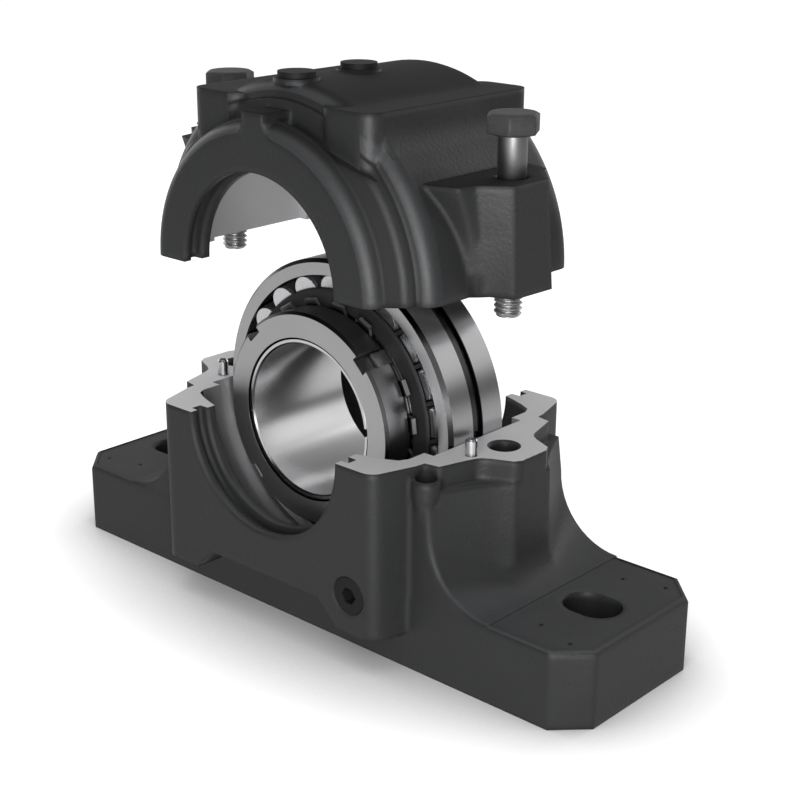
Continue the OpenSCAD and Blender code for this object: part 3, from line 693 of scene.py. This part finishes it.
def bolt_mesh(name):
    """A hexagon head with its corners turned off, a plain shank and a rolled thread."""
    shape = bmesh.new()
    rings_joined(shape, [circle(0.0, WASHER_FACE[0]), circle(WASHER_FACE_HEIGHT, WASHER_FACE[1]),
                         hexagon(WASHER_FACE_HEIGHT, EDGE_BREAK), hexagon(WASHER_FACE_HEIGHT * 2),
                         hexagon(HEAD_HEIGHT, 0.0, True), circle(HEAD_HEIGHT, HEAD_FACE),
                         circle(HEAD_HEIGHT, HEAD_FACE_MIDDLE)], HEAD_INDEX)
    rings_joined(shape, [circle(THREAD_LENGTH - BOLT_LENGTH - SHANK_LAP, BOLT_RADIUS),
                         circle(-SHANK_NECK, BOLT_RADIUS), circle(SHANK_LAP, BOLT_RADIUS)], SHANK_INDEX)
    thread = applied_tree(rolled_thread(), {"Radius": BOLT_RADIUS, "Length": THREAD_LENGTH,
                                            "Pitch": THREAD_PITCH, "Depth": THREAD_DEPTH,
                                            "Steel": thread_steel})
    thread.transform(Matrix.Translation((0.0, 0.0, THREAD_LENGTH / 2 - BOLT_LENGTH)))
    before = len(shape.faces)
    shape.from_mesh(thread)
    shape.faces.ensure_lookup_table()
    for face in shape.faces[before:]:
        face.material_index = THREAD_INDEX
    crease(shape)
    mesh = bpy.data.meshes.new(name)
    shape.to_mesh(mesh)
    shape.free()
    for material in (bolt_steel, head_dark, thread_steel):
        mesh.materials.append(material)
    return mesh


for side, x in (("left", -BOLT_X), ("right", BOLT_X)):
    bolt = added(f"bolt_{side}_made", bolt_mesh(f"bolt_{side}_made"))
    bolt.data.transform(Matrix.Translation((x, 0.0, BOLT_UNDER_HEAD)))
    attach(bolt, f"bolt_{side}")
    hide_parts(f"cap_bolt_{side}")

# --- Studio -----------------------------------------------------------------------------------------------
# A white floor that runs out of the picture, soft lamps above, behind and beside the camera, and the camera
# where the photograph was taken from.

FLOOR_RADIUS = 6.0
FLOOR_AROUND = 96
FLOOR_HEIGHT = -0.0002
FLOOR_WHITE = (0.50, 0.50, 0.50)
FLOOR_GLOW = 0.85
FLOOR_GLOW_IN_METAL = 0.22
# Reach, samples and sharpness of the painted contact shadow on the floor.
CONTACT_REACH = 0.062
CONTACT_SAMPLES = 8
CONTACT_POWER = 2.4
AMBIENT = 0.33
SKY_WHITE = (1.0, 1.0, 1.0)
SKY_IN_METAL = 0.74
SKY_IN_METAL_LEAST = 0.065
CAMERA_PLACE = Vector((0.41153, -0.43173, 0.29251))
CAMERA_AZIMUTH = math.radians(42.169)
CAMERA_ELEVATION = math.radians(19.589)
CAMERA_ROLL = math.radians(0.332)
CAMERA_SENSOR = 36.0
CAMERA_LENS = 71.80
CAMERA_FAR = 50.0


def white_floor():
    """White paper that glows where the camera sees it, with a painted contact shadow: ambient occlusion dims
    the glow near the object.
    """
    mesh = bpy.data.meshes.new("floor")
    disc = bmesh.new()
    bmesh.ops.create_circle(disc, cap_ends=True, segments=FLOOR_AROUND, radius=FLOOR_RADIUS)
    disc.to_mesh(mesh)
    disc.free()
    for corner in mesh.vertices:
        corner.co.z = FLOOR_HEIGHT
    material = bpy.data.materials.new("floor_white")
    material.use_nodes = True
    tree = material.node_tree
    tree.nodes.clear()
    paper = tree.nodes.new("ShaderNodeBsdfDiffuse")
    paper.inputs["Color"].default_value = shade(FLOOR_WHITE)
    # Painted shadow: the floor's glow is dimmed where the object is near.
    painted_contact_shadow = tree.nodes.new("ShaderNodeAmbientOcclusion")
    painted_contact_shadow.samples = CONTACT_SAMPLES
    painted_contact_shadow.inputs["Distance"].default_value = CONTACT_REACH
    outside_painted_shadow = maths(tree, "POWER", painted_contact_shadow.outputs["AO"], CONTACT_POWER)
    ray = tree.nodes.new("ShaderNodeLightPath").outputs
    mirrored = maths(tree, "MAXIMUM", ray["Is Glossy Ray"], ray["Is Transmission Ray"])
    seen = maths(tree, "MULTIPLY", maths(tree, "MULTIPLY", ray["Is Camera Ray"], FLOOR_GLOW), outside_painted_shadow)
    glow = tree.nodes.new("ShaderNodeEmission")
    tree.links.new(maths(tree, "MAXIMUM", seen, maths(tree, "MULTIPLY", mirrored, FLOOR_GLOW_IN_METAL)),
                   glow.inputs["Strength"])
    summed = tree.nodes.new("ShaderNodeAddShader")
    tree.links.new(paper.outputs[0], summed.inputs[0])
    tree.links.new(glow.outputs[0], summed.inputs[1])
    tree.links.new(summed.outputs[0], tree.nodes.new("ShaderNodeOutputMaterial").inputs["Surface"])
    mesh.materials.append(material)
    return added("floor", mesh)


white_floor()

world = bpy.data.worlds.new("studio")
bpy.context.scene.world = world
world.use_nodes = True
sky = world.node_tree
sky.nodes.clear()
path = sky.nodes.new("ShaderNodeLightPath").outputs
towards = sky.nodes.new("ShaderNodeSeparateXYZ")
sky.links.new(sky.nodes.new("ShaderNodeTexCoord").outputs["Generated"], towards.inputs[0])


def ramp(value, start, end, low, high):
    """A soft step in the sky from one level to another."""
    node = sky.nodes.new("ShaderNodeMapRange")
    node.interpolation_type = "SMOOTHSTEP"
    sky.links.new(value, node.inputs["Value"])
    for label, number in (("From Min", start), ("From Max", end), ("To Min", low), ("To Max", high)):
        node.inputs[label].default_value = number
    return node.outputs["Result"]


behind = ramp(towards.outputs[1], start=0.0, end=0.5, low=0.0, high=1.0)
above_floor = ramp(towards.outputs[2], start=0.10, end=0.30, low=0.10, high=1.0)
below_zenith = ramp(towards.outputs[2], start=0.50, end=0.72, low=1.0, high=0.08)
band = maths(sky, "MULTIPLY", above_floor, below_zenith)
mirrored = maths(sky, "MULTIPLY_ADD", maths(sky, "MULTIPLY", behind, band), SKY_IN_METAL, SKY_IN_METAL_LEAST)
strength = maths(sky, "MAXIMUM", path["Is Camera Ray"], path["Is Transmission Ray"])
strength = maths(sky, "MAXIMUM", strength, maths(sky, "MULTIPLY", path["Is Diffuse Ray"], AMBIENT))
strength = maths(sky, "MAXIMUM", strength, maths(sky, "MULTIPLY", path["Is Glossy Ray"], mirrored))
light = sky.nodes.new("ShaderNodeBackground")
light.inputs["Color"].default_value = shade(SKY_WHITE)
sky.links.new(strength, light.inputs["Strength"])
sky.links.new(light.outputs[0], sky.nodes.new("ShaderNodeOutputWorld").inputs["Surface"])


def softbox(name, place_at, aim_height, size, power):
    """A soft lamp that looks at the shaft's middle at some height."""
    lamp = bpy.data.lights.new(name, "AREA")
    lamp.shape = "RECTANGLE"
    lamp.size = size[0]
    lamp.size_y = size[1]
    lamp.energy = power
    aim = Vector((0.0, 0.0, aim_height)) - Vector(place_at)
    turned = aim.to_track_quat("-Z", "Y").to_matrix().to_4x4()
    added(name, lamp).matrix_world = Matrix.Translation(place_at) @ turned


softbox("softbox_above", (-0.25, -0.15, 1.25), aim_height=0.08, size=(1.1, 0.9), power=2.0)
softbox("softbox_camera", (0.50, -0.70, 0.42), aim_height=0.10, size=(0.60, 0.60), power=6.0)
softbox("softbox_low", (0.62, -0.64, 0.10), aim_height=0.12, size=(0.24, 0.18), power=3.6)
softbox("softbox_rear_right", (0.12, 1.10, 0.55), aim_height=0.10, size=(0.8, 0.8), power=2.6)
softbox("softbox_rear_left", (-1.05, 0.10, 0.45), aim_height=0.10, size=(0.8, 0.8), power=3.0)

lens = bpy.data.cameras.new("camera")
lens.sensor_width = CAMERA_SENSOR
lens.lens = CAMERA_LENS
lens.clip_end = CAMERA_FAR
camera = added("camera", lens)
back = Vector((math.sin(CAMERA_AZIMUTH) * math.cos(CAMERA_ELEVATION),
               -math.cos(CAMERA_AZIMUTH) * math.cos(CAMERA_ELEVATION), math.sin(CAMERA_ELEVATION)))
level = Vector((math.cos(CAMERA_AZIMUTH), math.sin(CAMERA_AZIMUTH), 0.0))
upright = back.cross(level)
right = level * math.cos(CAMERA_ROLL) + upright * math.sin(CAMERA_ROLL)
top = upright * math.cos(CAMERA_ROLL) - level * math.sin(CAMERA_ROLL)
camera.matrix_world = Matrix.Translation(CAMERA_PLACE) @ Matrix((right, top, back)).transposed().to_4x4()
bpy.context.scene.camera = camera
bpy.context.scene.view_settings.view_transform = "Standard"
